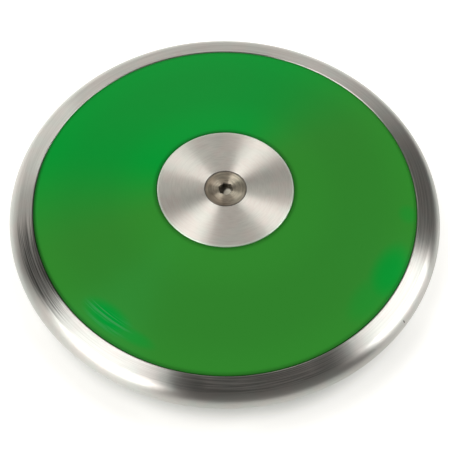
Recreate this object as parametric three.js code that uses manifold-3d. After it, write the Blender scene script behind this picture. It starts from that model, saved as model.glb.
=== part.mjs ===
// A throwing discus of the one kilogram size: a turned steel rim, two moulded side plates
// and a screwed metal centre that clamps the plates on the rim's inner web.
// Millimetres. +Z is the spin axis and the origin is the middle of the discus.

import * as THREE from "three";
import { mergeVertices } from "three/addons/utils/BufferGeometryUtils.js";
import Module from "manifold-3d";

const wasm = await Module();
wasm.setup();

// Whole discus
const discusDiameter = 181;
const discusThickness = 38;
const edgeRadius = 6; // the rounded edge that leaves the hand

// Rim
const rimFaceWidth = 10.2; // from the edge of the discus in to the side plate
const rimEdgeBreak = 0.25;
const webWidth = 7.2; // the flange between the two side plates, measured from the rebate wall inwards
const webThickness = 7.2;
const webBevel = 0.5;

// Side plates
const plateWall = 3;
const plateEdgeBreak = 0.3;
const spigotWall = 2.5; // the ring that centres a plate in the bore of the web
const spigotTipGap = 1.5; // between the spigots of the two plates
const bossWall = 3.2;
const ribThickness = 2;
const ribDepth = 4;
const ribRunIn = 3; // length of the slope between the hub's deeper part of a rib and the rest

// Centre plates
const centrePlateDiameter = 56.4;
const centrePlateThickness = 4;
const centrePlateBevel = 0.35;
const recessLip = 0.15; // flat land of the side plate around its recess
const screwHoleLand = 1.2; // straight part of the screw hole below the countersink

// Centre screws, M8 with a countersunk head and a 5 mm hexagon socket
const threadDiameter = 8;
const screwHeadDiameter = 16.8;
const screwHeadLand = 0.35;
const screwHeadBreak = 0.2;
const screwHeadSunk = 0.15; // below the face of the centre plate
const screwTipGap = 6; // between the tips of the two screws
const screwTipBevel = 1;
const socketWidth = 5; // across the flats
const socketDepth = 3;
const socketDrillDiameter = 4.8; // of the hole that the hexagon was broached from
const socketPointDepth = 0.9; // the drilled point below the hexagon

// Centre barrel, tapped from end to end
const barrelDiameter = 20;
const barrelEndGap = 0.4; // leaves the clamping force to the side plates
const barrelBevel = 0.8;

// Trim washers
const trimWasherThickness = 1.5;
const trimWasherDiameter = 40;

// Clearances
const slipGap = 0.2; // around a piece that slides into another
const seatGap = 0.1; // between faces that bear on each other
const threadGap = 0.1; // between the screw and the crests of the tapped hole
const cutOverrun = 1; // how far a cutter stands out of the piece that it cuts

// Counts and angles
const ribCount = 12;
const trimWasherCount = 4;
const ringRibShare = 0.5; // place of the round rib between the hub and the spigot
const socketTurn = THREE.MathUtils.degToRad(15); // where the hexagon of each screw stopped
const edgeArcSteps = 10;
const rimSteps = 88;
const plateSteps = 64;
const hubSteps = 32;

// Sizes that follow from those above
const discusRadius = discusDiameter / 2;
const faceHeight = discusThickness / 2;
const recessRadius = centrePlateDiameter / 2 + slipGap;
const flatRadius = recessRadius + recessLip;
const edgeCentreRadius = discusRadius - edgeRadius;
const taperRun = edgeCentreRadius - flatRadius;
const taperAngle =
  Math.atan2(faceHeight, taperRun) - Math.asin(edgeRadius / Math.hypot(taperRun, faceHeight));

const rebateRadius = discusRadius - rimFaceWidth;
const webRadius = rebateRadius - webWidth;
const webHeight = webThickness / 2;
const seatHeight = webHeight + seatGap;
const plateRadius = rebateRadius - slipGap;
const spigotRadius = webRadius - slipGap;

const barrelRadius = barrelDiameter / 2;
const hubBoreRadius = barrelRadius + slipGap;
const bossRadius = hubBoreRadius + bossWall;
const recessFloor = faceHeight - centrePlateThickness - seatGap;
const hubFloor = recessFloor - plateWall;
const cupRadius = recessRadius + plateWall;
const trimPitch = trimWasherThickness + seatGap;
const bossHeight = (trimPitch * trimWasherCount + seatGap) / 2;

const threadRadius = threadDiameter / 2;
const screwHoleRadius = threadRadius + slipGap;
const screwHeadRadius = screwHeadDiameter / 2;
const countersinkRadius = screwHeadRadius + screwHeadLand + screwHeadSunk + seatGap;
const countersinkDepth = countersinkRadius - screwHoleRadius;
const centreHubDepth = countersinkDepth + screwHoleLand;
const barrelHeight = faceHeight - centreHubDepth - barrelEndGap;

// Materials
const turnedSteel = new THREE.MeshStandardMaterial({ color: 0xc4c1bc, roughness: 0.3, metalness: 1 });
const turnedAluminium = new THREE.MeshStandardMaterial({ color: 0xd9d6d2, roughness: 0.35, metalness: 1 });
const stainlessSteel = new THREE.MeshStandardMaterial({ color: 0xa39c8e, roughness: 0.35, metalness: 1 });
const zincedSteel = new THREE.MeshStandardMaterial({ color: 0xa9adb2, roughness: 0.4, metalness: 1 });
const greenPlastic = new THREE.MeshStandardMaterial({ color: 0x1c8a2c, roughness: 0.3, metalness: 0 });

// The straight side of the discus, from the flat centre down to the rounded edge.
function taperHeight(radius) {
  return faceHeight - (radius - flatRadius) * Math.tan(taperAngle);
}

// The inside of a side plate's wall, which follows the taper at one thickness.
function wallUnderside(radius) {
  return taperHeight(radius) - plateWall / Math.cos(taperAngle);
}

// A solid turned about +Z from an outline of [radius, height] points.
function turned(outline, steps) {
  const points = outline.map(([radius, height]) => new THREE.Vector2(radius, height));
  return new THREE.LatheGeometry(points, steps).rotateX(Math.PI / 2);
}

// A turned ring, whose outline closes on itself.
function turnedRing(outline, steps) {
  return turned([...outline, outline[0]], steps);
}

function toManifold(geometry) {
  const bare = geometry.clone();
  bare.deleteAttribute("normal");
  bare.deleteAttribute("uv");
  const merged = mergeVertices(bare);
  return new wasm.Manifold(
    new wasm.Mesh({
      numProp: 3,
      vertProperties: merged.attributes.position.array,
      triVerts: new Uint32Array(merged.index.array),
    }),
  );
}

function toGeometry(manifold) {
  const mesh = manifold.getMesh();
  const geometry = new THREE.BufferGeometry();
  geometry.setAttribute("position", new THREE.BufferAttribute(mesh.vertProperties, mesh.numProp));
  geometry.setIndex(new THREE.BufferAttribute(mesh.triVerts, 1));
  geometry.computeVertexNormals();
  return geometry;
}

// The rim: a round edge, a tapered face on each side, a rebate for each side plate, and the web between.
function rimGeometry() {
  const arcEnd = Math.PI / 2 - taperAngle;
  const edge = Array.from({ length: edgeArcSteps + 1 }, (_, step) => {
    const angle = THREE.MathUtils.lerp(-arcEnd, arcEnd, step / edgeArcSteps);
    return [edgeCentreRadius + edgeRadius * Math.cos(angle), edgeRadius * Math.sin(angle)];
  });
  const upperInside = [
    [rebateRadius + rimEdgeBreak, taperHeight(rebateRadius + rimEdgeBreak)],
    [rebateRadius, taperHeight(rebateRadius) - rimEdgeBreak],
    [rebateRadius, webHeight],
    [webRadius + webBevel, webHeight],
    [webRadius, webHeight - webBevel],
  ];
  const lowerInside = upperInside.map(([radius, height]) => [radius, -height]).reverse();
  return turnedRing([...edge, ...upperInside, ...lowerInside], rimSteps);
}

// The moulded shell of a side plate: recess and boss at the hub, tapered wall, round rib, spigot and seat.
function plateShell() {
  const spigotInner = spigotRadius - spigotWall;
  const spigotTip = spigotTipGap / 2;
  const ringRib = THREE.MathUtils.lerp(cupRadius, spigotInner, ringRibShare);
  const ringInner = ringRib - ribThickness / 2;
  const ringOuter = ringRib + ribThickness / 2;
  return turnedRing(
    [
      [hubBoreRadius, bossHeight],
      [bossRadius, bossHeight],
      [bossRadius, hubFloor],
      [cupRadius, hubFloor],
      [cupRadius, wallUnderside(cupRadius)],
      [ringInner, wallUnderside(ringInner)],
      [ringInner, wallUnderside(ringInner) - ribDepth],
      [ringOuter, wallUnderside(ringOuter) - ribDepth],
      [ringOuter, wallUnderside(ringOuter)],
      [spigotInner, wallUnderside(spigotInner)],
      [spigotInner, spigotTip],
      [spigotRadius, spigotTip],
      [spigotRadius, seatHeight],
      [plateRadius, seatHeight],
      [plateRadius, taperHeight(plateRadius) - plateEdgeBreak],
      [plateRadius - plateEdgeBreak, taperHeight(plateRadius - plateEdgeBreak)],
      [flatRadius, faceHeight],
      [recessRadius, faceHeight],
      [recessRadius, recessFloor],
      [hubBoreRadius, recessFloor],
    ],
    plateSteps,
  );
}

// One radial rib. Its ends and its top edge lie inside the boss, the spigot and the wall that it joins.
function ribGeometry() {
  const inBoss = bossRadius - bossWall / 2;
  const inCup = cupRadius - plateWall / 2;
  const inSpigot = spigotRadius - spigotWall / 2;
  const slopeEnd = cupRadius + ribRunIn;
  const midWall = plateWall / 2;
  const section = new THREE.Shape();
  section.moveTo(inBoss, hubFloor - ribDepth);
  section.lineTo(cupRadius, hubFloor - ribDepth);
  section.lineTo(slopeEnd, wallUnderside(slopeEnd) - ribDepth);
  section.lineTo(inSpigot, wallUnderside(inSpigot) - ribDepth);
  section.lineTo(inSpigot, wallUnderside(inSpigot) + midWall);
  section.lineTo(inCup, wallUnderside(inCup) + midWall);
  section.lineTo(inCup, hubFloor + midWall);
  section.lineTo(inBoss, hubFloor + midWall);
  section.closePath();
  return new THREE.ExtrudeGeometry(section, { depth: ribThickness, bevelEnabled: false })
    .rotateX(Math.PI / 2)
    .translate(0, ribThickness / 2, 0);
}

function sidePlateGeometry() {
  let plate = toManifold(plateShell());
  for (let index = 0; index < ribCount; index += 1) {
    const rib = ribGeometry().rotateZ((index / ribCount) * 2 * Math.PI);
    plate = plate.add(toManifold(rib));
  }
  return toGeometry(plate);
}

// A turned disc, flush in its side plate, with a countersunk hole and a short hub that enters the plate's bore.
function centrePlateGeometry() {
  const radius = centrePlateDiameter / 2;
  const underside = faceHeight - centrePlateThickness;
  const hubEnd = faceHeight - centreHubDepth;
  return turnedRing(
    [
      [screwHoleRadius, hubEnd],
      [barrelRadius, hubEnd],
      [barrelRadius, underside],
      [radius, underside],
      [radius, faceHeight - centrePlateBevel],
      [radius - centrePlateBevel, faceHeight],
      [countersinkRadius, faceHeight],
      [screwHoleRadius, faceHeight - countersinkDepth],
    ],
    plateSteps,
  );
}

// The hexagon socket of a screw with its drilled point, as the solid that is cut away.
function socketCutter(mouthHeight) {
  const cornerRadius = socketWidth / 2 / Math.cos(Math.PI / 6);
  const drillRadius = socketDrillDiameter / 2;
  const floorHeight = mouthHeight - socketDepth;
  const hexagon = turned(
    [
      [0, floorHeight],
      [cornerRadius, floorHeight],
      [cornerRadius, mouthHeight + cutOverrun],
      [0, mouthHeight + cutOverrun],
    ],
    6,
  );
  const point = turned(
    [
      [0, floorHeight - socketPointDepth],
      [drillRadius, floorHeight],
      [drillRadius, mouthHeight],
      [0, mouthHeight],
    ],
    hubSteps / 2,
  );
  return toManifold(hexagon).add(toManifold(point));
}

function screwGeometry() {
  const top = faceHeight - screwHeadSunk;
  const coneTop = top - screwHeadLand;
  const tip = screwTipGap / 2;
  const body = turned(
    [
      [0, tip],
      [threadRadius - screwTipBevel, tip],
      [threadRadius, tip + screwTipBevel],
      [threadRadius, coneTop - (screwHeadRadius - threadRadius)],
      [screwHeadRadius, coneTop],
      [screwHeadRadius, top - screwHeadBreak],
      [screwHeadRadius - screwHeadBreak, top],
      [0, top],
    ],
    hubSteps,
  );
  return toGeometry(toManifold(body).subtract(socketCutter(top)));
}

function barrelGeometry() {
  const boreRadius = threadRadius + threadGap;
  return turnedRing(
    [
      [boreRadius, -barrelHeight],
      [barrelRadius - barrelBevel, -barrelHeight],
      [barrelRadius, barrelBevel - barrelHeight],
      [barrelRadius, barrelHeight - barrelBevel],
      [barrelRadius - barrelBevel, barrelHeight],
      [boreRadius, barrelHeight],
    ],
    hubSteps,
  );
}

function trimWasherGeometry() {
  const outer = trimWasherDiameter / 2;
  return turnedRing(
    [
      [hubBoreRadius, 0],
      [outer, 0],
      [outer, trimWasherThickness],
      [hubBoreRadius, trimWasherThickness],
    ],
    hubSteps,
  );
}

function piece(name, geometry, material) {
  const mesh = new THREE.Mesh(geometry, material);
  mesh.name = name;
  return mesh;
}

// One side of the discus. Both sides are alike, so the lower one is the upper one turned over.
function sideGroup(side) {
  const group = new THREE.Group();
  const screw = piece(`${side}_centre_screw`, screwGeometry(), stainlessSteel);
  screw.rotation.z = socketTurn;
  group.add(
    piece(`${side}_side_plate`, sidePlateGeometry(), greenPlastic),
    piece(`${side}_centre_plate`, centrePlateGeometry(), turnedAluminium),
    screw,
  );
  return group;
}

function trimWasherStack() {
  const group = new THREE.Group();
  const lowest = seatGap / 2 - (trimPitch * trimWasherCount) / 2;
  for (let index = 0; index < trimWasherCount; index += 1) {
    const washer = piece(`trim_washer_${index + 1}`, trimWasherGeometry(), zincedSteel);
    washer.position.z = lowest + trimPitch * index;
    group.add(washer);
  }
  return group;
}

const discus = new THREE.Group();
const lowerSide = sideGroup("lower");
lowerSide.rotation.x = Math.PI;
discus.add(
  piece("rim", rimGeometry(), turnedSteel),
  sideGroup("upper"),
  lowerSide,
  piece("centre_barrel", barrelGeometry(), zincedSteel),
  trimWasherStack(),
);

export default discus;
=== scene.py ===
"""The fine pieces, finishes and studio of a throwing discus.

Metres, +Z up. The origin is the middle of the discus and +Z is its spin axis.
"""

import math
import random
from collections import namedtuple
from functools import partial

import bmesh
import bpy
from bpy.props import FloatProperty, FloatVectorProperty, IntProperty, PointerProperty
from mathutils import Matrix, Vector


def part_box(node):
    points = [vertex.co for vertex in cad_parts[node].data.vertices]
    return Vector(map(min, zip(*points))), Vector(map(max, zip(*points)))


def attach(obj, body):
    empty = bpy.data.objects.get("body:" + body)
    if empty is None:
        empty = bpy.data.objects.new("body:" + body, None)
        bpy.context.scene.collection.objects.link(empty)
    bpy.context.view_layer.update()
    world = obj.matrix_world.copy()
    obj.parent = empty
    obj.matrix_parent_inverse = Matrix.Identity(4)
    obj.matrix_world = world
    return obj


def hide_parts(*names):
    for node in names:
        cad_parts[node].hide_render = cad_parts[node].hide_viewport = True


bl_info = {
    "name": "Throwing Discus",
    "version": (1, 0, 0),
    "blender": (4, 5, 0),
    "location": "3D View > Sidebar > Discus",
    "description": "Builds the pieces, finishes and studio of a throwing discus",
    "category": "Object",
}

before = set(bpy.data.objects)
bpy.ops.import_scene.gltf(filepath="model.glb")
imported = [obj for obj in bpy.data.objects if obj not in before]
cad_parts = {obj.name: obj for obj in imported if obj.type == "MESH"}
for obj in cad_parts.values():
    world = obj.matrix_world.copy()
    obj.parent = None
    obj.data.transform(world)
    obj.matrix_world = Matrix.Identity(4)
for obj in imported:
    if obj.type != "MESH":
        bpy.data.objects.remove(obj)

BODY = "root"
UPRIGHT = Matrix.Identity(4)
SIDES = {"upper": UPRIGHT, "lower": Matrix.Rotation(math.pi, 4, "X")}

# Sizes that the frame gives
DISCUS_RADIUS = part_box("rim")[1].x
FACE_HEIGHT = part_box("upper_side_plate")[1].z
PLATE_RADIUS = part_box("upper_side_plate")[1].x
SPIGOT_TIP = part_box("upper_side_plate")[0].z
CENTRE_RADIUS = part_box("upper_centre_plate")[1].x
CENTRE_HUB_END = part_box("upper_centre_plate")[0].z
SCREW_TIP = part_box("upper_centre_screw")[0].z
SCREW_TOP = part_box("upper_centre_screw")[1].z
BARREL_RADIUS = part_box("centre_barrel")[1].x
BARREL_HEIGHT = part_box("centre_barrel")[1].z
WASHERS = tuple(sorted(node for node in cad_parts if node.startswith("trim_washer")))
WASHER_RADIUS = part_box(WASHERS[0])[1].x
WASHER_STACK_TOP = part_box(WASHERS[-1])[1].z

Corner = namedtuple("Corner", "radius height fillet", defaults=(0.0,))
Ring = namedtuple("Ring", "radius height sharp", defaults=(False,))
Patch = namedtuple("Patch", "radius degrees width depth strength", defaults=(1.0,))
Turning = namedtuple("Turning", "smoothest roughest anisotropy line_width line_depth arcs stain")
Softbox = namedtuple("Softbox", "azimuth elevation distance width height turn oval")
Glow = namedtuple("Glow", "azimuth elevation edge core")

# Soft patches: how far out, degrees round from +X, half the width round the axis, half the depth, strength
# Painted highlights on the side plates, where the softboxes' reflections fall
GLINTS = (
    Patch(0.0723, 230.5, 0.0145, 0.0062), Patch(0.0735, 241, 0.012, 0.0035, 0.6),
    Patch(0.0745, 334.5, 0.0175, 0.0085, 0.9), Patch(0.0735, 323, 0.016, 0.0075, 0.4),
    Patch(0.0762, 357, 0.0055, 0.005, 0.4))
RIM_SCORES = (
    Patch(0.083, 203, 0.032, 0.02), Patch(0.083, 281, 0.046, 0.02, 0.6), Patch(0.083, 0, 0.034, 0.02, 0.32))
RIM_SHADES = (
    Patch(0.084, 203, 0.026, 0.012, 0.65), Patch(0.083, 260.5, 0.009, 0.012, 0.55),
    Patch(0.083, 301.5, 0.011, 0.012, 0.45))
# A painted highlight on the back of the rim's tapered face
RIM_HIGHLIGHT = Patch(0.0815, 158.5, 0.031, 0.0085, 0.9)
# A painted shadow on one side of the joint between the side plates and the rim
JOINT_SHADOW = Patch(0.08, 190, 0.055, 0.022)
SCREW_STAINS = (Patch(0.0075, 232, 0.0095, 0.0036, 0.6), Patch(0.0078, 150, 0.006, 0.0032, 0.5))
# A painted highlight on the screw head
SCREW_HIGHLIGHT = Patch(0.006, 48, 0.0046, 0.0032, 0.85)
SCREW_DIRT = (Patch(0.0083, 230, 0.007, 0.0031, 0.6), Patch(0.0086, 314, 0.006, 0.003, 0.42))
# Painted highlights on the socket's floor and on the lip of its mouth
SOCKET_FLOOR_HIGHLIGHT = Patch(0.0009, 0, 0.0024, 0.002, 1.7)
SOCKET_LIP_HIGHLIGHT = Patch(0.00245, 289, 0.0017, 0.00085, 0.8)
# Painted shadows on the floor in front of the discus, to the right and to the left
FLOOR_SHADOWS = (Patch(0.092, 305.6, 0.0687, 0.021, 0.105), Patch(0.09, 229.5, 0.0494, 0.0083, 0.046))

# Factors of a colour
STAIN = (0.5, 0.43, 0.37)
SHADE = (0.45, 0.46, 0.46)
# Brightens a colour into a painted highlight
PAINTED_HIGHLIGHT = (1.3, 1.34, 1.34)
# Darkens a band of the side plates with painted shade
MID_BAND_SHADE = (0.6, 0.25, 0.6)
WARMER = (1.02, 0.99, 0.98)
COOLER = (0.98, 1.005, 0.99)
BRIGHT_LINE = 1.45
DARK_LINE = 0.42

# Colours of dirt and painted shade, of a worn edge with a painted reflection, and of a painted highlight,
# what painted highlight streaks add to a colour, and the roughness of dirt and shade and of bright places
DIRT_AND_SHADE = (0.045, 0.034, 0.022)
WORN_EDGE_AND_REFLECTION = (0.8, 0.95, 0.78)
SOCKET_HIGHLIGHT = (0.99, 0.93, 0.78)
GLINT_STREAK_LIFT = (0.02, 0.0562, 0.06)
DIRT_AND_SHADE_ROUGHNESS = 0.7
BRIGHTENED_ROUGHNESS = 0.5

# Turned finishes: the roughness of the smoothest and roughest lines, how far they stretch highlights, their
# width and depth, how often they break off round the piece, and the strength of the stains
RIM_TURNING = Turning(0.28, 0.34, 0.95, 0.0004, 0.00004, 3.2, 0.08)
PLATE_TURNING = Turning(0.33, 0.42, 0.94, 0.0005, 0.00001, 4.0, 0.06)
SCREW_TURNING = Turning(0.33, 0.4, 0.96, 0.0006, 0.00005, 1.6, 0.3)

# Levels of a noise, or of the side plates' painted reflection, between which what it makes comes in
BLOTCHES = (0.5, 0.75)
STAINED_LINES = (0.5, 0.72)
BRIGHT_LINES = (0.46, 0.38)
DARK_LINES = (0.48, 0.56)
GLINT_STREAKS = (0.5, 0.62)
ALL_LINES = (0.36, 0.64)
STREAKS = (0.35, 0.7)
CLOUDS = (0.35, 0.65)
ZINC_CLOUDS = (0.35, 0.7)
WHOLE_NOISE = (0.3, 0.7)
REFLECTION_SPREAD = (0.05, 0.8)

# Lamps and lit parts of the room, in degrees. A glow's edge and core are cosines of the angle to its middle.
LEFT_SOFTBOX = Softbox(211.7, 49.5, 1.894, 2.619, 1.229, -53.7, True)
RIGHT_SOFTBOX = Softbox(0.2, 38.6, 0.6, 0.455, 0.345, 68.2, False)
WALL = Glow(112.9, 0, 0.434, 0.869)
WINDOW = Glow(210, 20, 0.706, 1.0)
FILL = Glow(297, 45, 0.75, 0.97)

# In the level part of a direction: where the horizon's light starts and is full, and the lit patch of ceiling
HORIZON = (0.332, 1.0)
CEILING_PLACE = (0, 0.537, 0)
CEILING_REACH = 0.202

# The floor: its radius, where its light fades, out from the axis, and where its shine changes, along Y and X
FLOOR_REACH = 6.0
FLOOR_FADE = (0.12, 0.42)
SHINE_BEHIND = (-0.078, 0.2)
SHINE_LEFT = (-0.09, 0.0)
SHINE_NEAR = (0.03, 0.12)

# Colours of the room and the floor
WHITE = (1, 1, 1)
ROOM_TINT = (1.03, 1, 0.965)
TABLE = (0.505, 0.505, 0.495)
TABLE_FAR_OFF = (0.09, 0.09, 0.09)
SEEN_TINT = (0.97, 1, 0.985)
SHINE_TINT = (1, 0.982, 0.95)


def length(name, description, metres):
    return FloatProperty(name=name, description=description, default=metres, unit="LENGTH")


def turn(name, description, degrees):
    return FloatProperty(name=name, description=description, default=math.radians(degrees), subtype="ANGLE")


def brightness(name, description, level):
    return FloatProperty(name=name, description=description, default=level, min=0)


def finish_colour(name, description, colour):
    return FloatVectorProperty(name=name, description=description, default=colour, size=3, subtype="COLOR")


class DiscusSizes(bpy.types.PropertyGroup):
    edge_radius: length("Edge radius", "Radius of the rounded edge", 0.006)
    slip_gap: length("Slip gap", "Gap round a piece that slides into another", 0.0002)
    seat_gap: length("Seat gap", "Gap between faces that bear on each other", 0.0001)
    web_width: length("Web width", "Width of the rim's inner flange", 0.0072)
    web_thickness: length("Web thickness", "Thickness of the rim's inner flange", 0.0072)
    edge_break: length("Edge break", "Rounding of the side plates' inner edges", 0.00028)
    rim_edge: length("Rim edge", "Rounding of the rim's inner edges", 0.0004)
    plate_edge: length("Plate edge", "Rounding of a side plate's outer edge", 0.00035)
    plate_wall: length("Plate wall", "Wall of a side plate", 0.003)
    spigot_wall: length("Spigot wall", "Wall of the ring that centres a side plate", 0.0025)
    boss_wall: length("Boss wall", "Wall of a side plate's hub boss", 0.0032)
    rib_thickness: length("Rib thickness", "Thickness of a side plate's ribs", 0.002)
    rib_depth: length("Rib depth", "Depth of a side plate's ribs", 0.004)
    rib_count: IntProperty(name="Ribs", description="Radial ribs inside each side plate", default=12, min=3)
    # Width of the dirt and painted shade along a side plate's edges
    grime_and_shade_width: length("Grime width", "Width of the grime at a side plate's edges", 0.002)
    centre_thickness: length("Centre thickness", "Thickness of a centre plate", 0.004)
    centre_bevel: length("Centre bevel", "Bevel round a centre plate", 0.00022)
    recess_lip: length("Recess lip", "Flat land of a side plate round its recess", 0.00015)
    screw_head_radius: length("Head radius", "Radius of a screw head", 0.0084)
    screw_head_land: length("Head land", "Straight edge of a screw head", 0.0002)
    thread_radius: length("Thread radius", "Outer radius of the screw thread", 0.004)
    thread_pitch: length("Thread pitch", "Pitch of the screw thread", 0.00125)
    thread_depth: length("Thread depth", "Depth of the screw thread", 0.00065)
    socket_width: length("Socket width", "Hexagon socket across its flats", 0.005)
    socket_depth: length("Socket depth", "Depth of the hexagon socket", 0.003)
    socket_break: length("Socket break", "Bevel round the mouth of the socket", 0.00025)
    socket_turn: turn("Socket turn", "Angle of a corner of the hexagon", 45)
    mark_pitch: length("Mark pitch", "Distance between the lathe's tool marks", 0.0005)
    mark_depth: length("Mark depth", "Depth of the lathe's tool marks", 0.00001)
    nick_turn: turn("Nick", "How far round the rim its nick is", 324.5)
    nick_tilt: turn("Nick tilt", "How far down the rounded edge the nick is", 61)
    nick_length: length("Nick length", "Length of the nick", 0.0016)
    segments: IntProperty(name="Segments", description="Segments round the discus", default=288, min=24)


class DiscusColours(bpy.types.PropertyGroup):
    steel: finish_colour("Rim steel", "Turned steel of the rim", (0.637, 0.627, 0.594))
    green: finish_colour("Green", "Plastic of the side plates", (0.035, 0.262, 0.029))
    # The cooler green of the side plates' painted reflection and painted highlights
    reflection_green: finish_colour("Cool green", "The plastic where its colour drifts", (0.0, 0.313, 0.0305))
    aluminium: finish_colour("Aluminium", "Turned centre plates", (0.985, 0.95, 0.88))
    stainless: finish_colour("Stainless", "Centre screws", (0.56, 0.5, 0.4))
    zinc: finish_colour("Zinc", "Plated barrel and washers", (0.45, 0.47, 0.5))


class DiscusStudio(bpy.types.PropertyGroup):
    lens: FloatProperty(
        name="Lens", description="Focal length of the camera in millimetres", default=133.03, min=1)
    distance: length("Distance", "Camera to the middle of the discus", 0.7011)
    elevation: turn("Elevation", "Camera above the horizon", 57.487)
    roll: turn("Roll", "Turn of the camera about its view", 1.117)
    aim: FloatVectorProperty(
        name="Aim", description="Point that the camera looks at", size=3, subtype="TRANSLATION",
        default=(0.000077, -0.005884, 0.0))
    left_radiance: brightness("Left softbox", "Brightness of the large oval softbox", 2.64)
    right_radiance: brightness("Right softbox", "Brightness of the small softbox", 3.7)
    room_dark: brightness("Room", "Brightness of the room", 0.005)
    room_bright: brightness("Wall", "Brightness of the pale wall behind the discus", 0.867)
    room_horizon: brightness("Horizon", "Brightness that the room gains towards the horizon", 0.056)
    window: brightness("Window", "Brightness of the broad glow low on the left", 1.19)
    fill: brightness("Fill", "Brightness of the soft light over the front of the discus", 0.12)
    ceiling_patch: brightness("Ceiling patch", "Brightness of the lit ceiling behind the discus", 0.746)
    floor_glow: brightness("Floor glow", "What the camera sees added to the floor round the discus", 0.93)
    floor_shine: brightness("Floor shine", "What reflections see added to the floor behind the discus", 1.06)
    floor_shine_near: brightness("Near floor shine", "What reflections see added to the floor near it", 0.46)
    floor_shine_left: brightness("Left floor shine", "What reflections see added to the floor's left", 0.21)


# Outlines

def rounded(corners, closed=True, arc_step=math.radians(9)):
    """The outline's points, with every corner that has a fillet turned into an arc."""
    points = []
    last = len(corners) - 1
    for index, corner in enumerate(corners):
        here = Vector((corner.radius, corner.height))
        if not corner.fillet or (not closed and index in (0, last)):
            points.append(here)
            continue
        before = corners[index - 1]
        after = corners[(index + 1) % len(corners)]
        back = (Vector((before.radius, before.height)) - here).normalized()
        on = (Vector((after.radius, after.height)) - here).normalized()
        half = back.angle(on) / 2
        centre = here + (back + on).normalized() * corner.fillet / math.sin(half)
        reach = corner.fillet / math.tan(half)
        start = here + back * reach - centre
        end = here + on * reach - centre
        steps = max(2, math.ceil((math.pi - 2 * half) / arc_step))
        points += [centre + start.slerp(end, step / steps) * corner.fillet for step in range(steps + 1)]
    return points


def resampled(points, spacing):
    """The same line with points at one spacing along it."""
    lengths = [(after - before).length for before, after in zip(points, points[1:])]
    total = sum(lengths)
    count = max(1, round(total / spacing))
    line = [points[0]]
    index = 0
    passed = 0.0
    for step in range(1, count):
        target = total * step / count
        while passed + lengths[index] < target:
            passed += lengths[index]
            index += 1
        line.append(points[index].lerp(points[index + 1], (target - passed) / lengths[index]))
    return line + [points[-1]]


def supported(points, reach, longest):
    """The same line with points near the ends of long stretches, which keep smooth shading in the fillets."""
    line = []
    for before, after in zip(points, points[1:] + points[:1]):
        line.append(before)
        span = (after - before).length
        if span > 4 * reach:
            inner = max(1, math.ceil((span - 2 * reach) / longest))
            shares = [(reach + (span - 2 * reach) * step / inner) / span for step in range(inner + 1)]
            line += [before.lerp(after, share) for share in shares]
    return line


def tool_marks(points, pitch, depth, seed):
    """Rings of shallow lathe marks along a smooth line. Each mark has its own depth."""
    chance = random.Random(seed)
    line = resampled(points, pitch / 2)
    rings = []
    for index, point in enumerate(line):
        before = line[max(0, index - 1)]
        after = line[min(len(line) - 1, index + 1)]
        along = (after - before).normalized()
        inwards = Vector((-along.y, along.x))
        cut = depth * chance.uniform(0.25, 1) if index % 2 and index < len(line) - 1 else 0.0
        place = point + inwards * cut
        rings.append(Ring(place.x, place.y, True))
    return rings


def mirrored(corners):
    """The same corners on the other side of the middle plane, in the opposite order."""
    return [Corner(corner.radius, -corner.height, corner.fillet) for corner in reversed(corners)]


def as_rings(points):
    return [Ring(point.x, point.y) for point in points]


# Meshes

def ring_row(bm, ring, segments):
    """The vertices of a ring. Its radius is a number or a function of the angle."""
    if ring.radius == 0:
        return [bm.verts.new((0, 0, ring.height))] * segments
    row = []
    for index in range(segments):
        angle = 2 * math.pi * index / segments
        radius = ring.radius(angle) if callable(ring.radius) else ring.radius
        row.append(bm.verts.new((radius * math.cos(angle), radius * math.sin(angle), ring.height)))
    return row


def bridge(bm, first, second):
    count = len(first)
    for index in range(count):
        following = (index + 1) % count
        corners = (first[index], first[following], second[following], second[index])
        bm.faces.new(list(dict.fromkeys(corners)))


def spun(rings, segments, closed=True):
    """A closed mesh turned about +Z. Without closed, the rings start and end on the axis."""
    bm = bmesh.new()
    rows = [ring_row(bm, ring, segments) for ring in rings]
    for first, second in zip(rows, rows[1:]):
        bridge(bm, first, second)
    if closed:
        bridge(bm, rows[-1], rows[0])
    bmesh.ops.recalc_face_normals(bm, faces=bm.faces)
    for ring, row in zip(rings, rows):
        if ring.sharp:
            for first, second in zip(row, row[1:] + row[:1]):
                bm.edges.get((first, second)).smooth = False
    return bm


def as_mesh(name, bm):
    """The bmesh as a mesh. The bmesh is used up."""
    mesh = bpy.data.meshes.new(name)
    bm.to_mesh(mesh)
    bm.free()
    return mesh


def finished_mesh(name, bm, place=UPRIGHT):
    """A smooth-shaded mesh with its hard edges marked, turned to its side of the discus."""
    crease = math.radians(28)
    for face in bm.faces:
        face.smooth = True
    for edge in bm.edges:
        if edge.calc_face_angle(0) > crease:
            edge.smooth = False
    mesh = as_mesh(name, bm)
    mesh.transform(place)
    return mesh


def add_object(name, data):
    added = bpy.data.objects.new(name, data)
    bpy.context.scene.collection.objects.link(added)
    return added


def add_piece(name, mesh, material, node):
    """Puts a piece in the scene in place of its node of the frame."""
    piece = add_object(name, mesh)
    mesh.materials.append(material)
    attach(piece, BODY)
    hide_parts(node)


def add_pair(name, bm, material, node):
    """Puts a piece on each side of the discus, the lower one turned over, and gives their meshes."""
    meshes = []
    for side, place in SIDES.items():
        mesh = finished_mesh(f"{side}_{name}", bm.copy(), place)
        add_piece(f"{side}_{name}", mesh, material, f"{side}_{node}")
        meshes.append(mesh)
    bm.free()
    return meshes


def small_segments(sizes):
    """Half the segments, in whole 24ths of a turn, for the screws and the pieces round the barrel."""
    return sizes.segments // 48 * 24


# Shader nodes. A function that takes a node's output finds the node tree from it.

def is_output(value):
    return isinstance(value, bpy.types.NodeSocket)


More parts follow.
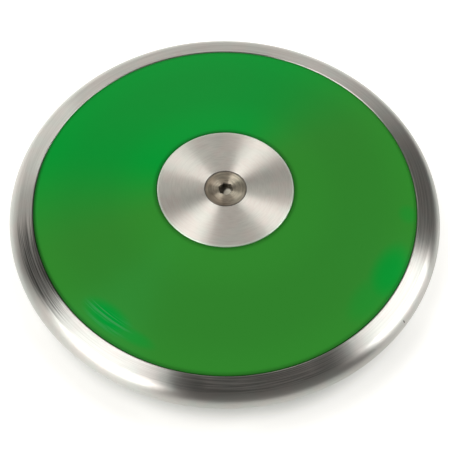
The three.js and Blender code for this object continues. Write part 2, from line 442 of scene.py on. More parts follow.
def fill_inputs(node, inputs):
    """Links each input to the output that is given for it, or sets it to the constant."""
    for key, value in inputs.items():
        if is_output(value):
            node.id_data.links.new(value, node.inputs[key])
        else:
            node.inputs[key].default_value = value


def add_node(tree, kind, inputs=None, **settings):
    node = tree.nodes.new(kind)
    for key, value in settings.items():
        setattr(node, key, value)
    fill_inputs(node, inputs or {})
    return node


def maths(kind, operation, *values):
    """The outputs of a maths node of that kind."""
    tree = next(value.id_data for value in values if is_output(value))
    return add_node(tree, kind, dict(enumerate(values)), operation=operation).outputs


def calculate(operation, first, *others):
    """The operation on the first two numbers, and then on its result and each number after them."""
    for value in others:
        first = maths("ShaderNodeMath", operation, first, value)["Value"]
    return first


plus = partial(calculate, "ADD")
minus = partial(calculate, "SUBTRACT")
times = partial(calculate, "MULTIPLY")
over = partial(calculate, "DIVIDE")
most = partial(calculate, "MAXIMUM")
least = partial(calculate, "MINIMUM")


def absolute(number):
    return maths("ShaderNodeMath", "ABSOLUTE", number)["Value"]


def vectors(operation, *values):
    """The operation on places or directions. A length, a distance or a dot product gives a number."""
    measured = operation in ("LENGTH", "DISTANCE", "DOT_PRODUCT")
    return maths("ShaderNodeVectorMath", operation, *values)["Value" if measured else "Vector"]


def ramp(value, low, high, to_low=0.0, to_high=1.0, smooth=True):
    """Runs from one level to the other while the value runs from low to high."""
    node = add_node(
        value.id_data, "ShaderNodeMapRange",
        {"Value": value, "From Min": low, "From Max": high, "To Min": to_low, "To Max": to_high},
        interpolation_type="SMOOTHSTEP" if smooth else "LINEAR")
    return node.outputs["Result"]


def opaque(colour):
    """A colour as a node takes it: an output as it is, and three channels with a fourth."""
    return colour if is_output(colour) else (*colour, 1.0)


def mix(share, first, second, blend="MIX"):
    return add_node(
        share.id_data, "ShaderNodeMix", {"Factor": share, "A": opaque(first), "B": opaque(second)},
        data_type="RGBA", blend_type=blend).outputs["Result"]


def tinted(colour, factor):
    """The colour times a number, or times a number for each channel."""
    factors = factor if isinstance(factor, tuple) else (factor,) * 3
    return tuple(channel * share for channel, share in zip(colour, factors))


def cloudy(point, scale, detail):
    """Noise that is alike in all directions."""
    inputs = {"Vector": point, "Scale": scale, "Detail": detail}
    return add_node(point.id_data, "ShaderNodeTexNoise", inputs).outputs["Fac"]


def bumped(height, strength, distance):
    return add_node(
        height.id_data, "ShaderNodeBump",
        {"Height": height, "Strength": strength, "Distance": distance}).outputs["Normal"]


def towards(azimuth, elevation):
    """The unit vector in that direction."""
    level = math.cos(elevation)
    return Vector((math.cos(azimuth) * level, math.sin(azimuth) * level, math.sin(elevation)))


class RingSpace:
    """Places on a turned piece: how far out, how far from its middle plane, and how far round."""

    def __init__(self, tree):
        self.tree = tree
        self.point = add_node(tree, "ShaderNodeTexCoord").outputs["Object"]
        self.x, self.y, upwards = add_node(tree, "ShaderNodeSeparateXYZ", {"Vector": self.point}).outputs
        self.radius = vectors("LENGTH", vectors("MULTIPLY", self.point, (1, 1, 0)))
        self.height = absolute(upwards)
        self.across = over(self.x, self.radius)
        self.along = over(self.y, self.radius)

    def lines(self, width, arcs, detail=2.0):
        """Noise drawn out round the axis: width is the lines' width, arcs how often they break off."""
        place = add_node(self.tree, "ShaderNodeCombineXYZ", {
            "X": times(self.radius, 1 / width), "Y": times(self.height, 1 / width),
            "Z": times(self.across, arcs)}).outputs["Vector"]
        return add_node(
            self.tree, "ShaderNodeTexNoise",
            {"Vector": place, "W": times(self.along, arcs), "Scale": 1.0, "Detail": detail},
            noise_dimensions="4D").outputs["Fac"]

    def patch(self, oval):
        """A soft oval patch."""
        outwards = towards(math.radians(oval.degrees), 0)
        sideways = Vector((-outwards.y, outwards.x, 0))
        away = vectors("SUBTRACT", self.point, outwards * oval.radius)
        axes = (outwards / oval.depth, sideways / oval.width)
        parts = [vectors("DOT_PRODUCT", away, axis) for axis in axes]
        return ramp(plus(*(times(part, part) for part in parts)), 0.0, 1.0, oval.strength, 0.0)

    def any_patch(self, ovals):
        """The strongest of several soft patches at each place."""
        return most(*(self.patch(oval) for oval in ovals))


def new_material(name, shader="ShaderNodeBsdfPrincipled"):
    """A material with its last shader, and the places on its piece."""
    material = bpy.data.materials.new(name)
    material.use_nodes = True
    tree = material.node_tree
    tree.nodes.clear()
    last = add_node(tree, shader)
    add_node(tree, "ShaderNodeOutputMaterial", {"Surface": last.outputs[0]})
    return material, RingSpace(tree), last


def turned_metal(name, colour, turning, scores, grime_and_shade, tints=(), metallic=1.0, brightening=None,
                 bright_colour=WORN_EDGE_AND_REFLECTION):
    """Bare metal off the lathe: highlights fan out across its circular lines, and faint stains darken it.

    The functions for scores, for darkening and for brightening take the places on the piece. They give how
    marked its lines are there; how much dirty places and painted shade in joints and gaps darken it; and how
    much it brightens, from an edge bright with wear and a painted reflection on the centre plates, and from a
    painted highlight on the screws. Each of the tints is such a function and what it multiplies the colour
    by.
    They paint shade and highlights, and stains on the screws.
    """
    material, rings, shader = new_material(name)
    fine = rings.lines(turning.line_width / 4, turning.arcs / 2, detail=3)
    scored = rings.lines(turning.line_width, turning.arcs)
    blotches = cloudy(rings.point, scale=55.0, detail=4.0)
    clouds = cloudy(rings.point, scale=130.0, detail=1.0)
    stained = most(
        ramp(blotches, *BLOTCHES, 0.0, turning.stain / 2), ramp(scored, *STAINED_LINES, 0.0, turning.stain))
    colours = mix(ramp(clouds, *CLOUDS), tinted(colour, WARMER), tinted(colour, COOLER))
    colours = mix(stained, colours, STAIN, "MULTIPLY")
    marked = scores(rings)
    colours = mix(times(ramp(scored, *BRIGHT_LINES), marked), colours, tinted(colour, BRIGHT_LINE))
    colours = mix(times(ramp(scored, *DARK_LINES), marked), colours, tinted(colour, DARK_LINE))
    for places, tint in tints:
        colours = mix(places(rings), colours, tint, "MULTIPLY")
    roughness = ramp(
        plus(times(scored, 0.6), times(fine, 0.4)), *ALL_LINES, turning.smoothest, turning.roughest)
    metal = metallic
    # Brightening: a worn edge tinted by a painted reflection on the centre plates, a painted highlight on the
    # screws
    if brightening:
        brightened = brightening(rings)
        colours = mix(brightened, colours, bright_colour)
        roughness = most(roughness, times(brightened, BRIGHTENED_ROUGHNESS))
        metal = plus(times(brightened, -0.45), metallic)
    # Dirt, and painted shade in joints and gaps
    dirt_and_shade = grime_and_shade(rings)
    tangent = add_node(rings.tree, "ShaderNodeTangent", direction_type="RADIAL", axis="Z")
    fill_inputs(shader, {
        "Base Color": mix(dirt_and_shade, colours, DIRT_AND_SHADE),
        "Roughness": most(roughness, times(dirt_and_shade, DIRT_AND_SHADE_ROUGHNESS)),
        "Metallic": least(minus(1.0, dirt_and_shade), metal),
        "Normal": bumped(plus(scored, times(fine, 0.25)), strength=1.0, distance=turning.line_depth),
        "Tangent": tangent.outputs["Tangent"],
        "Anisotropic": turning.anisotropy, "Anisotropic Rotation": 0.25})
    return material


def moulded_plastic(name, colour, reflection_colour, inner_edge, outer_edge, grime_and_shade_width, glints):
    """Glossy moulded plastic. A painted reflection turns the side facing the wall a cooler green. Dirt and
    painted shade darken its two edges.

    The glints are painted highlights in the cooler green. The first has painted highlight streaks of a paler
    colour in it. A band round the middle of the plate is darkened with painted shade.
    """
    material, rings, shader = new_material(name)
    # Painted reflection: the side facing the pale wall, and the glints, turn a cooler green
    reflection_angle = math.radians(118)
    reflection_side = plus(times(rings.across, math.cos(reflection_angle)), times(rings.along, math.sin(reflection_angle)))
    sway = times(minus(cloudy(rings.point, scale=9.0, detail=1.0), 0.5), 0.3)
    streaks = rings.lines(width=0.0009, arcs=2.2, detail=3)
    fine = rings.lines(width=0.0003, arcs=3.0)
    patches = [rings.patch(patch) for patch in glints]
    painted_reflection = most(ramp(plus(reflection_side, sway), *REFLECTION_SPREAD), *patches)
    colours = mix(painted_reflection, colour, reflection_colour)
    # Painted highlight streaks along the lines in the first glint
    glint_streaks = times(patches[0], ramp(streaks, *GLINT_STREAKS, 0.0, 0.8))
    glint_streak_colour = [channel + lift for channel, lift in zip(colour, GLINT_STREAK_LIFT)]
    colours = mix(glint_streaks, colours, glint_streak_colour)
    # Painted shade: a darker band round the middle of the plate's width
    width = outer_edge - inner_edge
    off_middle = absolute(minus(rings.radius, inner_edge + 0.55 * width))
    mid_band_shade = ramp(off_middle, 0.45 * width, 0.1 * width, 0.0, 0.1)
    colours = mix(mid_band_shade, colours, tinted(colour, MID_BAND_SHADE))
    # Dirt and painted shade along both edges, darkest under the joint's painted shadow
    joint_dirt_and_shade = plus(times(rings.patch(JOINT_SHADOW), 0.3), 0.45)
    dirt_and_shade = most(
        ramp(rings.radius, inner_edge + grime_and_shade_width, inner_edge, 0.0, 0.48),
        times(ramp(rings.radius, outer_edge - 0.9 * grime_and_shade_width, outer_edge), joint_dirt_and_shade))
    fill_inputs(shader, {
        "Base Color": mix(dirt_and_shade, colours, tinted(colour, 0.1)),
        "Roughness": ramp(streaks, *STREAKS, 0.13, 0.2, smooth=False),
        "Normal": bumped(plus(streaks, times(fine, 0.4)), strength=0.25, distance=0.00002),
        "IOR": 1.25, "Specular Tint": (0.0, 1.0, 0.3, 1.0)})
    return material


def broached_steel(name, colour, floor_height):
    """A hexagon socket's inside: painted shade, and a painted highlight on its floor and one on its mouth."""
    material, rings, shader = new_material(name)
    fade = 0.0003
    grain = cloudy(rings.point, scale=900.0, detail=3.0)
    on_floor = ramp(rings.height, floor_height, floor_height + fade, 1.0, 0.0)
    # Painted highlights on the floor and on the lip
    brightened = least(1.0, most(times(on_floor, rings.patch(SOCKET_FLOOR_HIGHLIGHT)), rings.patch(SOCKET_LIP_HIGHLIGHT)))
    # Painted shade darkens the rest of the socket
    painted_shade = mix(grain, tinted(colour, 0.1), tinted(colour, 0.35))
    fill_inputs(shader, {
        "Base Color": mix(brightened, painted_shade, SOCKET_HIGHLIGHT),
        "Roughness": ramp(grain, *WHOLE_NOISE, 0.34, 0.46),
        "Metallic": minus(1.0, brightened)})
    return material


def plated_steel(name, colour):
    """Zinc-plated steel with a cloudy satin finish."""
    material, rings, shader = new_material(name)
    clouds = cloudy(rings.point, scale=240.0, detail=4.0)
    fill_inputs(shader, {
        "Base Color": mix(ramp(clouds, *ZINC_CLOUDS), tinted(colour, 0.8), tinted(colour, 1.1)),
        "Roughness": ramp(clouds, *WHOLE_NOISE, 0.3, 0.45),
        "Normal": bumped(clouds, strength=0.2, distance=0.00002), "Metallic": 1.0})
    return material


# Forms that several pieces share

def taper_angle(sizes):
    run = DISCUS_RADIUS - sizes.edge_radius - flat_radius(sizes)
    return math.atan2(FACE_HEIGHT, run) - math.asin(sizes.edge_radius / math.hypot(run, FACE_HEIGHT))


def flat_radius(sizes):
    return CENTRE_RADIUS + sizes.slip_gap + sizes.recess_lip


def taper_height(sizes, radius):
    """The straight side of the discus, from the flat centre down to the rounded edge."""
    return FACE_HEIGHT - (radius - flat_radius(sizes)) * math.tan(taper_angle(sizes))


def wall_underside(sizes, radius):
    return taper_height(sizes, radius) - sizes.plate_wall / math.cos(taper_angle(sizes))


def thread_wave(sizes, angle, height):
    """How deep the screw thread is cut there, from 0 at its crest to 1 at its root."""
    along = height / sizes.thread_pitch - angle / (2 * math.pi)
    return 1 - abs(2 * (along - math.floor(along)) - 1)


def threaded_rings(sizes, low, high, clearance=0.0):
    """Rings of a screw thread, which fades out at both ends."""
    rings_to_a_turn = 10
    count = math.ceil((high - low) / sizes.thread_pitch * rings_to_a_turn)
    fade = sizes.thread_pitch
    rings = []
    for step in range(count + 1):
        height = low + (high - low) * step / count
        reach = min(1.0, (height - low) / fade, (high - height) / fade)

        def radius(angle, height=height, reach=reach):
            cut = sizes.thread_depth * reach * thread_wave(sizes, angle, height)
            return sizes.thread_radius + clearance - cut
        rings.append(Ring(radius, height))
    return rings


# The rim

def rim_rings(sizes):
    """The turned ring: a round edge, two tapered faces, a rebate for each side plate, and the web."""
    rebate = PLATE_RADIUS + sizes.slip_gap
    web = rebate - sizes.web_width
    web_height = sizes.web_thickness / 2
    apex = flat_radius(sizes) + FACE_HEIGHT / math.tan(taper_angle(sizes))
    face_start = rebate + 1.5 * sizes.rim_edge
    face_height = taper_height(sizes, face_start)
    outside = rounded([
        Corner(face_start, -face_height),
        Corner(apex, 0, sizes.edge_radius),
        Corner(face_start, face_height)], closed=False, arc_step=math.radians(2))
    marks = tool_marks(outside, sizes.mark_pitch, sizes.mark_depth, seed=3)
    upper = [
        Corner(face_start, face_height),
        Corner(rebate, taper_height(sizes, rebate), sizes.rim_edge),
        Corner(rebate, web_height, sizes.rim_edge / 2),
        Corner(web, web_height, sizes.rim_edge),
    ]
    inner = rounded(upper + mirrored(upper), closed=False)
    return marks + as_rings(inner[1:-1])


def on_taper(rings, sizes, level):
    """The level on the rim's two tapered faces, and nothing on its rounded edge."""
    return times(ramp(rings.height, 0.84 * sizes.edge_radius, 0.97 * sizes.edge_radius), level)


def rim_scores(rings, sizes):
    """How marked the lines of the tapered face are: a little all round, and most at three places."""
    return on_taper(rings, sizes, most(0.08, rings.any_patch(RIM_SCORES)))


def rim_dirt_and_shade(rings, sizes):
    """Dirt and painted shade in the joint with the side plates, and a dirty nick down the rounded edge."""
    rebate = PLATE_RADIUS + sizes.slip_gap
    in_joint = ramp(rings.radius, rebate + sizes.rim_edge, rebate)
    # Dirt and painted shade in the joint, darkest under the joint's painted shadow
    joint = times(in_joint, plus(times(rings.patch(JOINT_SHADOW), 0.45), 0.12))
    nick = towards(sizes.nick_turn, math.pi / 2 - sizes.nick_tilt) * sizes.edge_radius
    nick += towards(sizes.nick_turn, 0) * (DISCUS_RADIUS - sizes.edge_radius)
    downhill = towards(sizes.nick_turn, -sizes.nick_tilt)
    away = vectors("SUBTRACT", rings.point, nick)
    shrunk = vectors("MULTIPLY", downhill, times(vectors("DOT_PRODUCT", away, downhill), -0.6))
    distance = vectors("LENGTH", vectors("ADD", away, shrunk))
    return most(joint, ramp(distance, 0.27 * sizes.nick_length, 0.12 * sizes.nick_length, 0.0, 0.97))


class DISCUS_OT_rim(bpy.types.Operator):
    """Build the turned steel rim"""
    bl_idname = "discus.rim"
    bl_label = "Rim"

    def execute(self, context):
        sizes = context.scene.discus_sizes
        steel = turned_metal(
            "turned_steel", context.scene.discus_colours.steel, RIM_TURNING,
            scores=lambda rings: rim_scores(rings, sizes),
            grime_and_shade=lambda rings: rim_dirt_and_shade(rings, sizes),
            # Painted shade, and a painted highlight, on the tapered face
            tints=(
                (lambda rings: on_taper(rings, sizes, rings.any_patch(RIM_SHADES)), SHADE),
                (lambda rings: on_taper(rings, sizes, rings.patch(RIM_HIGHLIGHT)), PAINTED_HIGHLIGHT)))
        mesh = finished_mesh("rim_ring", spun(rim_rings(sizes), sizes.segments))
        add_piece("rim_ring", mesh, steel, "rim")
        return {"FINISHED"}


# Side plates

PlatePlaces = namedtuple("PlatePlaces", "recess recess_floor bore boss hub_floor cup spigot spigot_inner")


def plate_places(sizes):
    """The radii and heights of a side plate that its shell and its ribs share."""
    recess = CENTRE_RADIUS + sizes.slip_gap
    recess_floor = FACE_HEIGHT - sizes.centre_thickness - sizes.seat_gap
    bore = BARREL_RADIUS + sizes.slip_gap
    spigot = PLATE_RADIUS - sizes.web_width
    return PlatePlaces(
        recess, recess_floor, bore, bore + sizes.boss_wall, recess_floor - sizes.plate_wall,
        recess + sizes.plate_wall, spigot, spigot - sizes.spigot_wall)


def side_plate_rings(sizes):
    """The moulded shell: recess and boss at the hub, tapered wall, round rib, spigot and seat."""
    at = plate_places(sizes)
    boss_end = WASHER_STACK_TOP + sizes.seat_gap
    seat = sizes.web_thickness / 2 + sizes.seat_gap
    round_rib = (at.cup + at.spigot_inner) / 2
    rib_inner = round_rib - sizes.rib_thickness / 2
    rib_outer = round_rib + sizes.rib_thickness / 2
    land = flat_radius(sizes) + sizes.recess_lip
    soft = sizes.edge_break

    def inside(radius, below=0.0, fillet=2 * soft):
        return Corner(radius, wall_underside(sizes, radius) - below, fillet)

    corners = [
        Corner(at.bore, boss_end, soft),
        Corner(at.boss, boss_end, soft),
        Corner(at.boss, at.hub_floor, 2 * soft),
        Corner(at.cup, at.hub_floor, soft),
        inside(at.cup),
        inside(rib_inner),
        inside(rib_inner, sizes.rib_depth, soft),
        inside(rib_outer, sizes.rib_depth, soft),
        inside(rib_outer),
        inside(at.spigot_inner),
        Corner(at.spigot_inner, SPIGOT_TIP, soft),
        Corner(at.spigot, SPIGOT_TIP, soft),
        Corner(at.spigot, seat),
        Corner(PLATE_RADIUS, seat, soft),
        Corner(PLATE_RADIUS, taper_height(sizes, PLATE_RADIUS), sizes.plate_edge),
        Corner(land, taper_height(sizes, land), soft),
        Corner(at.recess, FACE_HEIGHT, sizes.recess_lip),
        Corner(at.recess, at.recess_floor, soft),
        Corner(at.bore, at.recess_floor, soft),
    ]
    points = rounded(corners, arc_step=math.radians(15))
    return as_rings(supported(points, sizes.plate_wall / 10, 2 * sizes.plate_wall))


def rib_mesh(sizes):
    """The radial ribs under a side plate. Their ends and top lie inside the boss, the spigot and the wall."""
    at = plate_places(sizes)
    inner = at.bore + sizes.boss_wall / 2
    outer = at.spigot - sizes.spigot_wall / 2
    slope_end = at.cup + sizes.plate_wall
    half_wall = sizes.plate_wall / 2
    side = [
        (inner, at.hub_floor - sizes.rib_depth),
        (at.cup, at.hub_floor - sizes.rib_depth),
        (slope_end, wall_underside(sizes, slope_end) - sizes.rib_depth),
        (outer, wall_underside(sizes, outer) - sizes.rib_depth),
        (outer, wall_underside(sizes, outer) + half_wall),
        (at.cup - half_wall, wall_underside(sizes, at.cup) + half_wall),
        (at.cup - half_wall, at.hub_floor + half_wall),
        (inner, at.hub_floor + half_wall),
    ]
    bm = bmesh.new()
    half = sizes.rib_thickness / 2
    for index in range(sizes.rib_count):
        round_to = Matrix.Rotation(2 * math.pi * index / sizes.rib_count, 4, "Z")
        faces = [[bm.verts.new(round_to @ Vector((radius, offset, height))) for radius, height in side]
                 for offset in (-half, half)]
        bridge(bm, *faces)
        for face in faces:
            bm.faces.new(face)
    bmesh.ops.recalc_face_normals(bm, faces=bm.faces)
    return as_mesh("ribs", bm)


def united(shell, ribs):
    """One solid of a shell and its ribs, as a bmesh."""
    base = add_object("shell", as_mesh("shell", shell))
    tool = add_object("ribs", ribs)
    cut = base.modifiers.new("ribs", "BOOLEAN")
    cut.operation = "UNION"
    cut.solver = "EXACT"
    cut.object = tool
    bm = bmesh.new()
    bm.from_object(base, bpy.context.evaluated_depsgraph_get())
    for piece in (base, tool):
        mesh = piece.data
        bpy.data.objects.remove(piece)
        bpy.data.meshes.remove(mesh)
    return bm


class DISCUS_OT_side_plates(bpy.types.Operator):
    """Build the two moulded side plates"""
    bl_idname = "discus.side_plates"
    bl_label = "Side plates"

    def execute(self, context):
        sizes = context.scene.discus_sizes
        colours = context.scene.discus_colours
        plastic = moulded_plastic(
            "green_plastic", colours.green, colours.reflection_green, flat_radius(sizes), PLATE_RADIUS,
            sizes.grime_and_shade_width, GLINTS)
        solid = united(spun(side_plate_rings(sizes), sizes.segments), rib_mesh(sizes))
        add_pair("plate_shell", solid, plastic, "side_plate")
        return {"FINISHED"}


# Centre plates

def countersink_radius(sizes):
    """Where the 45 degree seat of the screw head meets the face of the centre plate."""
    top_gap = FACE_HEIGHT - SCREW_TOP
    return sizes.screw_head_radius + sizes.screw_head_land + top_gap + sizes.seat_gap


def centre_plate_rings(sizes):
    """A disc faced on the lathe, flush in its side plate, with a countersunk hole and a short hub below."""
    hole = sizes.thread_radius + sizes.slip_gap
    countersink = countersink_radius(sizes)
    underside = FACE_HEIGHT - sizes.centre_thickness
    fine = sizes.centre_bevel / 8
    edge = sizes.centre_bevel * 1.4
    face_outer = CENTRE_RADIUS - sizes.centre_bevel - edge / 2
    face_inner = countersink + fine
    face = tool_marks(
        [Vector((face_outer, FACE_HEIGHT)), Vector((face_inner, FACE_HEIGHT))],
        sizes.mark_pitch, sizes.mark_depth, seed=5)
    rest = rounded([
        Corner(face_inner, FACE_HEIGHT),
        Corner(countersink, FACE_HEIGHT, fine / 2),
        Corner(hole, FACE_HEIGHT - (countersink - hole), fine),
        Corner(hole, CENTRE_HUB_END, fine),
        Corner(BARREL_RADIUS, CENTRE_HUB_END, fine),
        Corner(BARREL_RADIUS, underside, fine),
        Corner(CENTRE_RADIUS, underside, fine),
        Corner(CENTRE_RADIUS, FACE_HEIGHT - sizes.centre_bevel, edge),
        Corner(CENTRE_RADIUS - sizes.centre_bevel, FACE_HEIGHT, edge),
        Corner(face_outer, FACE_HEIGHT)], closed=False)
    return face + as_rings(rest[1:-1])


class DISCUS_OT_centre_plates(bpy.types.Operator):
    """Build the two turned centre plates"""
    bl_idname = "discus.centre_plates"
    bl_label = "Centre plates"

    def execute(self, context):
        sizes = context.scene.discus_sizes
        seat = countersink_radius(sizes)
        # The bevelled edge is worn bright and tinted green by a painted reflection of the side plate
        bright_edge_from = CENTRE_RADIUS - 5 * sizes.centre_bevel
        aluminium = turned_metal(
            "turned_aluminium", context.scene.discus_colours.aluminium, PLATE_TURNING, metallic=0.93,
            scores=lambda rings: 0.05,
            # Darker in the countersink, under the edge of the screw head
            grime_and_shade=lambda rings: ramp(rings.radius, seat, seat - sizes.seat_gap, 0.0, 0.93),
            brightening=lambda rings: ramp(rings.radius, bright_edge_from, CENTRE_RADIUS, 0.0, 0.85))
        disc = spun(centre_plate_rings(sizes), sizes.segments)
        add_pair("centre_disc", disc, aluminium, "centre_plate")
        return {"FINISHED"}


# Centre screws

def screw_rings(sizes):
    """A countersunk screw, from the middle of its tip, up round the head and down into its socket."""
    head = sizes.screw_head_radius
    land = SCREW_TOP - sizes.screw_head_land
    neck = land - (head - sizes.thread_radius)
    drilled = 0.48 * sizes.socket_width
    mouth = sizes.socket_width / 2 / math.cos(math.pi / 6) + 2 * sizes.socket_break
    floor = SCREW_TOP - sizes.socket_depth
    point = floor - 0.18 * sizes.socket_width
    edge = sizes.screw_head_land / 2

    def hexagon(angle):
        sixth = math.pi / 3
        turned = (angle - sizes.socket_turn) % sixth - sixth / 2
        return sizes.socket_width / 2 / math.cos(turned)

    def bevelled(angle):
        return hexagon(angle) + sizes.socket_break

    shank = threaded_rings(sizes, SCREW_TIP + sizes.thread_pitch / 2, neck - sizes.thread_pitch / 2)
    cone = rounded([
        Corner(sizes.thread_radius, neck),
        Corner(head, land, edge / 3),
        Corner(head, SCREW_TOP, edge),
        Corner(head - 2 * edge, SCREW_TOP)], closed=False)
    face = tool_marks(
        [Vector((head - 2 * edge, SCREW_TOP)), Vector((mouth, SCREW_TOP))],
        sizes.mark_pitch * 0.7, sizes.mark_depth, seed=7)
    socket = [
        Ring(bevelled, SCREW_TOP), Ring(hexagon, SCREW_TOP - sizes.socket_break), Ring(hexagon, floor),
        Ring(drilled, floor), Ring(0, point)]
    tip = [Ring(0, SCREW_TIP), Ring(sizes.thread_radius - sizes.thread_depth, SCREW_TIP)]
    return tip + shank + as_rings(cone[:-1]) + face + socket


def screw_grime(rings, sizes):
    """Dirt round the edge of the head, and more of it in two places."""
    outer = sizes.screw_head_radius - sizes.screw_head_land
    edge = ramp(rings.radius, outer - 2.5 * sizes.screw_head_land, outer, 0.0, 0.55)
    return most(edge, rings.any_patch(SCREW_DIRT))


def in_socket(face, sizes):
    """Whether a face of the screw is one of the socket's, from the bevel at its mouth down."""
    deep = SCREW_TOP - sizes.socket_depth - 0.2 * sizes.socket_width
    within = face.center.xy.length < 0.62 * sizes.socket_width
    return within and deep < abs(face.center.z) < SCREW_TOP - sizes.socket_break / 4


class DISCUS_OT_centre_screws(bpy.types.Operator):
    """Build the two countersunk screws"""
    bl_idname = "discus.centre_screws"
    bl_label = "Centre screws"

    def execute(self, context):
        sizes = context.scene.discus_sizes
        colour = context.scene.discus_colours.stainless
        stainless = turned_metal(
            "stainless_steel", colour, SCREW_TURNING,
            scores=lambda rings: 0.28,
            grime_and_shade=lambda rings: screw_grime(rings, sizes),
            # Real stains, and a painted highlight on the head
            tints=(
                (lambda rings: rings.any_patch(SCREW_STAINS), STAIN),
                (lambda rings: rings.patch(SCREW_HIGHLIGHT), PAINTED_HIGHLIGHT)),
            # A painted highlight on the lip of the socket
            brightening=lambda rings: rings.patch(SOCKET_LIP_HIGHLIGHT), bright_colour=SOCKET_HIGHLIGHT)
        broached = broached_steel("broached_steel", colour, SCREW_TOP - sizes.socket_depth)
        screw = spun(screw_rings(sizes), small_segments(sizes), closed=False)
        for mesh in add_pair("screw", screw, stainless, "centre_screw"):
            mesh.materials.append(broached)
            for face in mesh.polygons:
                face.material_index = int(in_socket(face, sizes))
        return {"FINISHED"}


# Barrel and trim washers

def barrel_rings(sizes):
    """A sleeve with an inside thread, bevelled at both ends."""
    bevel = 0.08 * BARREL_RADIUS
    upper = [
        Corner(BARREL_RADIUS, BARREL_HEIGHT - bevel, bevel / 4),
        Corner(BARREL_RADIUS - bevel, BARREL_HEIGHT, bevel / 4),
        Corner(sizes.thread_radius + sizes.seat_gap, BARREL_HEIGHT),
    ]
    outside = rounded(mirrored(upper) + upper, closed=False)
    inset = sizes.thread_pitch / 4
    bore = threaded_rings(sizes, inset - BARREL_HEIGHT, BARREL_HEIGHT - inset, clearance=sizes.seat_gap / 2)
    return as_rings(outside) + bore[::-1]


def washer_rings(sizes, node):
    low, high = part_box(node)
    bore = BARREL_RADIUS + sizes.slip_gap
    soft = (high.z - low.z) / 8
    corners = [
        Corner(bore, low.z, soft), Corner(WASHER_RADIUS, low.z, soft),
        Corner(WASHER_RADIUS, high.z, soft), Corner(bore, high.z, soft)]
    return as_rings(supported(rounded(corners), soft, WASHER_RADIUS))


class DISCUS_OT_core(bpy.types.Operator):
    """Build the barrel and the trim washers inside the discus"""
    bl_idname = "discus.core"
    bl_label = "Barrel and washers"

    def execute(self, context):
        sizes = context.scene.discus_sizes
        zinc = plated_steel("zinced_steel", context.scene.discus_colours.zinc)
        segments = small_segments(sizes)
        barrel = finished_mesh("barrel_sleeve", spun(barrel_rings(sizes), segments))
        add_piece("barrel_sleeve", barrel, zinc, "centre_barrel")
        for index, node in enumerate(WASHERS, start=1):
            washer = finished_mesh(f"washer_{index}", spun(washer_rings(sizes, node), segments))
            add_piece(f"washer_{index}", washer, zinc, node)
        return {"FINISHED"}


# Studio

def facing(place, away, roll):
    """The placing of a lamp or camera that looks back along away, turned about its own axis."""
    level = Vector((0, 0, 1)).cross(away).normalized()
    basis = Matrix((level, away.cross(level), away)).transposed() @ Matrix.Rotation(roll, 3, "Z")
    return Matrix.Translation(place) @ basis.to_4x4()


def add_softbox(name, box, radiance):
    """A softbox that faces the discus."""
    lamp = bpy.data.lights.new(name, "AREA")
    lamp.shape = "ELLIPSE" if box.oval else "RECTANGLE"
    lamp.size = box.width
    lamp.size_y = box.height
    area = box.width * box.height * (math.pi / 4 if box.oval else 1)
    lamp.energy = radiance * math.pi * area
    light = add_object(name, lamp)
    away = towards(math.radians(box.azimuth), math.radians(box.elevation))
    light.matrix_world = facing(away * box.distance, away, math.radians(box.turn))
    light.visible_camera = False


def room_world(studio):
    """A dark room with a pale wall, a window and a lit patch of ceiling. The camera sees it white."""
    world = bpy.data.worlds.new("room")
    bpy.context.scene.world = world
    world.use_nodes = True
    tree = world.node_tree
    tree.nodes.clear()
    direction = add_node(tree, "ShaderNodeTexCoord").outputs["Generated"]
    flat = vectors("MULTIPLY", direction, (1, 1, 0))
    lit = [
        ramp(vectors("LENGTH", flat), *HORIZON, 0.0, studio.room_horizon),
        ramp(vectors("DISTANCE", flat, CEILING_PLACE), CEILING_REACH, 0.0, 0.0, studio.ceiling_patch)]
    glows = (
        (WALL, studio.room_dark, studio.room_bright), (WINDOW, 0.0, studio.window), (FILL, 0.0, studio.fill))
    for glow, dim, bright in glows:
        middle = towards(math.radians(glow.azimuth), math.radians(glow.elevation))
        lit.append(ramp(vectors("DOT_PRODUCT", direction, middle), glow.edge, glow.core, dim, bright))
    seen = add_node(tree, "ShaderNodeLightPath").outputs["Is Camera Ray"]
    background = add_node(tree, "ShaderNodeBackground", {
        "Color": mix(seen, ROOM_TINT, WHITE), "Strength": most(plus(*lit), seen)})
    add_node(tree, "ShaderNodeOutputWorld", {"Surface": background.outputs["Background"]})


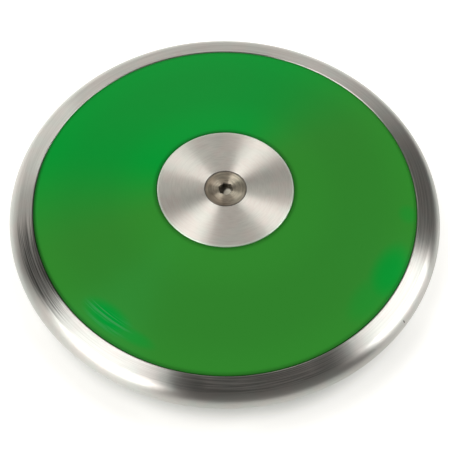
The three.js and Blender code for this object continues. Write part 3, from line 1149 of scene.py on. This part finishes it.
def floor_material(studio):
    """A white table in a dim room. The camera sees it white but for the shadow of the discus, which is
    rendered and also painted: the glow dims near the discus, and two painted shadows darken it.
    """
    material, place, both = new_material("studio_floor", "ShaderNodeAddShader")
    path = add_node(place.tree, "ShaderNodeLightPath").outputs
    reflected = most(path["Is Glossy Ray"], path["Is Transmission Ray"])
    far_off = ramp(place.radius, *FLOOR_FADE)
    glow = studio.floor_glow
    # The glow dims near the discus, and two patches darken it further: painted shadows for the camera
    glow_with_painted_shadow = plus(
        ramp(place.radius, 0.98 * PLATE_RADIUS, DISCUS_RADIUS, 0.25 * glow, 0.72 * glow),
        ramp(place.radius, DISCUS_RADIUS, 1.2 * DISCUS_RADIUS, 0.0, 0.28 * glow))
    shadow = plus(*(place.patch(patch) for patch in FLOOR_SHADOWS))
    seen = plus(minus(glow_with_painted_shadow, shadow), far_off)
    behind = ramp(place.y, *SHINE_BEHIND, 0.0, studio.floor_shine)
    left = ramp(place.x, *SHINE_LEFT, studio.floor_shine_left, 0.0)
    near = ramp(place.x, *SHINE_NEAR, studio.floor_shine_near, 0.55 * studio.floor_shine_near)
    shine = plus(times(plus(left, near), minus(1.0, far_off)), behind)
    matt = add_node(place.tree, "ShaderNodeBsdfDiffuse", {"Color": mix(far_off, TABLE, TABLE_FAR_OFF)})
    light = add_node(place.tree, "ShaderNodeEmission", {
        "Color": mix(path["Is Camera Ray"], SEEN_TINT, SHINE_TINT),
        "Strength": plus(times(path["Is Camera Ray"], seen), times(reflected, shine))})
    fill_inputs(both, {0: matt.outputs["BSDF"], 1: light.outputs["Emission"]})
    return material


def studio_camera(studio):
    """The camera at the photograph's view."""
    place = towards(-math.pi / 2, studio.elevation) * studio.distance
    data = bpy.data.cameras.new("studio_camera")
    data.lens = studio.lens
    data.clip_start = 0.01
    camera = add_object("studio_camera", data)
    camera.matrix_world = facing(place, (place - Vector(studio.aim)).normalized(), studio.roll)
    bpy.context.scene.camera = camera


class DISCUS_OT_studio(bpy.types.Operator):
    """Set up the floor, the lights and the camera"""
    bl_idname = "discus.studio"
    bl_label = "Studio"

    def execute(self, context):
        scene = context.scene
        studio = scene.discus_studio
        scene.view_settings.view_transform = "Standard"
        bm = bmesh.new()
        bmesh.ops.create_circle(bm, cap_ends=True, radius=FLOOR_REACH, segments=64)
        floor = add_object("studio_floor", as_mesh("studio_floor", bm))
        floor.data.materials.append(floor_material(studio))
        floor.location.z = -FACE_HEIGHT
        add_softbox("softbox_left", LEFT_SOFTBOX, studio.left_radiance)
        add_softbox("softbox_right", RIGHT_SOFTBOX, studio.right_radiance)
        room_world(studio)
        studio_camera(studio)
        return {"FINISHED"}


GROUPS = {"discus_sizes": DiscusSizes, "discus_colours": DiscusColours, "discus_studio": DiscusStudio}
OPERATORS = (
    DISCUS_OT_studio,
    DISCUS_OT_rim,
    DISCUS_OT_side_plates,
    DISCUS_OT_centre_plates,
    DISCUS_OT_centre_screws,
    DISCUS_OT_core,
)


class DISCUS_PT_pieces(bpy.types.Panel):
    """Lists the steps that build the discus"""
    bl_idname = "DISCUS_PT_pieces"
    bl_label = "Throwing Discus"
    bl_space_type = "VIEW_3D"
    bl_region_type = "UI"
    bl_category = "Discus"

    def draw(self, context):
        for operator in OPERATORS:
            self.layout.operator(operator.bl_idname)
        for name in GROUPS:
            group = getattr(context.scene, name)
            box = self.layout.box()
            for key in group.__annotations__:
                box.prop(group, key)


CLASSES = (*GROUPS.values(), *OPERATORS, DISCUS_PT_pieces)


def register():
    for part in CLASSES:
        bpy.utils.register_class(part)
    for name, group in GROUPS.items():
        setattr(bpy.types.Scene, name, PointerProperty(type=group))


def unregister():
    for name in GROUPS:
        delattr(bpy.types.Scene, name)
    for part in reversed(CLASSES):
        bpy.utils.unregister_class(part)


def main():
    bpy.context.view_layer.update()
    register()
    bpy.ops.discus.studio()
    bpy.ops.discus.rim()
    bpy.ops.discus.side_plates()
    bpy.ops.discus.centre_plates()
    bpy.ops.discus.centre_screws()
    bpy.ops.discus.core()


if __name__ == "__main__":
    main()
